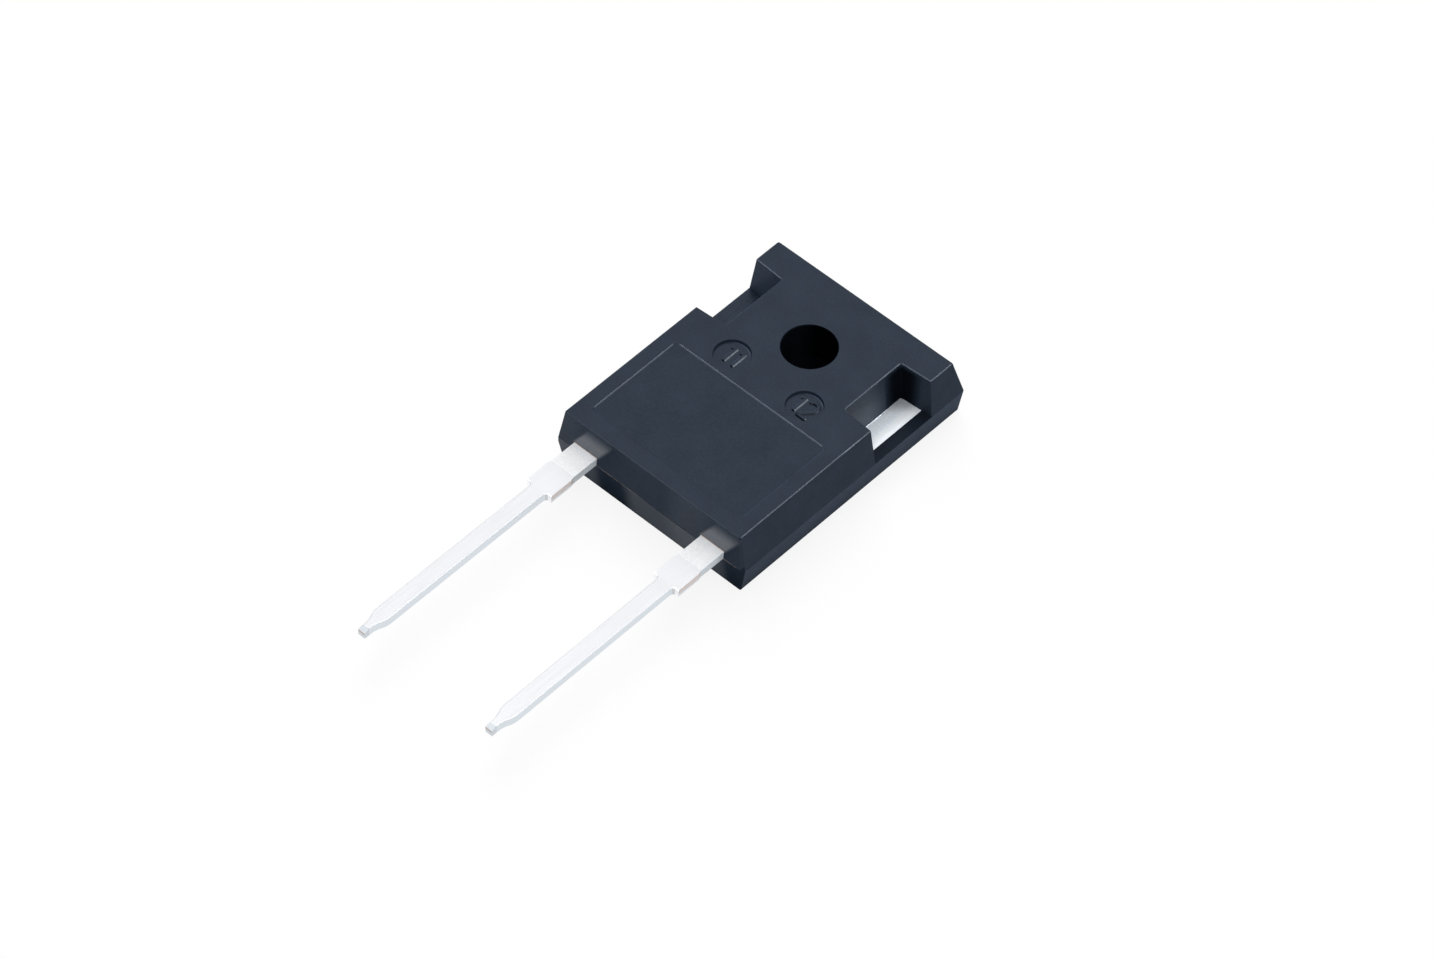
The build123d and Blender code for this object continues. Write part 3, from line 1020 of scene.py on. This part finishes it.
class DIODE_OT_studio(bpy.types.Operator):
    """Set up the pale floor, the soft lamps and the camera"""

    bl_idname = "diode.studio"
    bl_label = "Studio"

    def execute(self, context):
        settings = context.scene.diode_studio
        lay_floor(settings)
        light_world(context.scene, settings)
        key = hang_lamp("key", settings.key, KEY_SIZE, KEY_PLACE, settings.aim)
        key.visible_glossy = False
        hang_lamp("softbox", settings.softbox, SOFTBOX_SIZE, SOFTBOX_PLACE, settings.aim)
        for name, place in STRIP_PLACES.items():
            strip = hang_lamp(name, settings.strips, STRIP_SIZE, place, settings.aim)
            strip.data.color = settings.strip_colour
            strip.visible_diffuse = False
        place_camera(context.scene, settings)
        context.scene.view_settings.view_transform = "Standard"
        return {"FINISHED"}


# ---------------------------------------------------------------- studio

FLOOR_HALF = 3.0
FLOOR_GAP = 0.01 * MM

# side and place of each square lamp, in metres
KEY_SIZE, KEY_PLACE = 0.5, (-0.26, 0.30, 0.48)
SOFTBOX_SIZE, SOFTBOX_PLACE = 0.6, (0.12, -0.12, 0.60)
STRIP_SIZE = 0.12
STRIP_PLACES = {"strip_right": (0.36, 0.22, 0.20), "strip_left": (-0.20, -0.38, 0.24)}

SENSOR_WIDTH = 36            # millimetres
CLIP_START, CLIP_END = 0.01, 20


def lay_floor(settings):
    """Pale floor just under the heatsink face."""
    corners = [(-1, -1), (1, -1), (1, 1), (-1, 1)]
    points = [(x * FLOOR_HALF, y * FLOOR_HALF, -FLOOR_GAP) for x, y in corners]
    mesh = bpy.data.meshes.new("floor")
    mesh.from_pydata(points, [], [(0, 1, 2, 3)])
    shader = Shader("floor")
    lit = shader.add("ShaderNodeBsdfDiffuse", None, {"Color": opaque(settings.floor_colour)})
    white = shader.add("ShaderNodeEmission", None, {"Strength": 1.0})
    inputs = {0: shader.seen() * settings.backdrop, 1: lit.outputs[0], 2: white.outputs[0]}
    mixed = shader.add("ShaderNodeMixShader", None, inputs)
    shader.add("ShaderNodeOutputMaterial", None, {"Surface": mixed.outputs[0]})
    mesh.materials.append(shader.owner)
    floor = bpy.data.objects.new("floor", mesh)
    bpy.context.scene.collection.objects.link(floor)


def light_world(scene, settings):
    """Even pale surroundings: at full strength where they are seen, softer as light."""
    shader = Shader("surroundings", bpy.data.worlds)
    strength = shader.seen() * (1 - settings.sky) + settings.sky
    background = shader.add("ShaderNodeBackground", None, {"Strength": strength})
    shader.add("ShaderNodeOutputWorld", None, {"Surface": background.outputs[0]})
    scene.world = shader.owner


def hang_lamp(name, power, size, place, aim):
    """Square area lamp that faces the aim point."""
    lamp = bpy.data.lights.new(name, "AREA")
    lamp.energy = power
    lamp.size = size
    piece = bpy.data.objects.new(name, lamp)
    bpy.context.scene.collection.objects.link(piece)
    away = Vector(aim) - Vector(place)
    piece.location = place
    piece.rotation_euler = away.to_track_quat("-Z", "Y").to_euler()
    return piece


def place_camera(scene, settings):
    """Camera on a line through the aim point, at the chosen azimuth, elevation and roll."""
    level = math.cos(settings.elevation)
    back = Vector((
        math.sin(settings.azimuth) * level,
        -math.cos(settings.azimuth) * level,
        math.sin(settings.elevation),
    ))
    right = Vector((0, 0, 1)).cross(back).normalized()
    up = back.cross(right)
    turn = Matrix.Rotation(settings.roll, 3, back)
    axes = Matrix((turn @ right, turn @ up, back)).transposed()
    lens = bpy.data.cameras.new("camera")
    lens.lens = settings.lens
    lens.sensor_width = SENSOR_WIDTH
    lens.clip_start = CLIP_START
    lens.clip_end = CLIP_END
    camera = bpy.data.objects.new("camera", lens)
    scene.collection.objects.link(camera)
    place = Vector(settings.aim) + back * settings.distance
    camera.matrix_world = Matrix.Translation(place) @ axes.to_4x4()
    scene.camera = camera


# ---------------------------------------------------------------- panel and run

class DIODE_PT_panel(bpy.types.Panel):
    """Lists the pieces in the sidebar."""

    bl_idname = "DIODE_PT_panel"
    bl_label = "Power diode"
    bl_space_type = "VIEW_3D"
    bl_region_type = "UI"
    bl_category = "Diode"

    def draw(self, context):
        for operator in OPERATORS:
            self.layout.operator(operator.bl_idname)
        for name in SETTINGS:
            group = getattr(context.scene, name)
            box = self.layout.box()
            for key in group.bl_rna.properties.keys():
                if key not in ("rna_type", "name"):
                    box.prop(group, key)


SETTINGS = {
    "diode_epoxy": DiodeEpoxySettings,
    "diode_lead": DiodeLeadSettings,
    "diode_marks": DiodeMarkSettings,
    "diode_studio": DiodeStudioSettings,
}
OPERATORS = (
    DIODE_OT_body,
    DIODE_OT_leads,
    DIODE_OT_inner_pieces,
    DIODE_OT_numbers,
    DIODE_OT_bleed,
    DIODE_OT_burr,
    DIODE_OT_flash,
    DIODE_OT_studio,
)


def register():
    for name, group in SETTINGS.items():
        bpy.utils.register_class(group)
        setattr(bpy.types.Scene, name, bpy.props.PointerProperty(type=group))
    for operator in OPERATORS:
        bpy.utils.register_class(operator)
    bpy.utils.register_class(DIODE_PT_panel)


def unregister():
    bpy.utils.unregister_class(DIODE_PT_panel)
    for operator in reversed(OPERATORS):
        bpy.utils.unregister_class(operator)
    for name, group in SETTINGS.items():
        delattr(bpy.types.Scene, name)
        bpy.utils.unregister_class(group)


def main():
    register()
    bpy.ops.diode.body()
    bpy.ops.diode.leads()
    bpy.ops.diode.inner_pieces()
    bpy.ops.diode.numbers()
    bpy.ops.diode.bleed()
    bpy.ops.diode.burr()
    bpy.ops.diode.flash()
    bpy.ops.diode.studio()


if __name__ == "__main__":
    main()
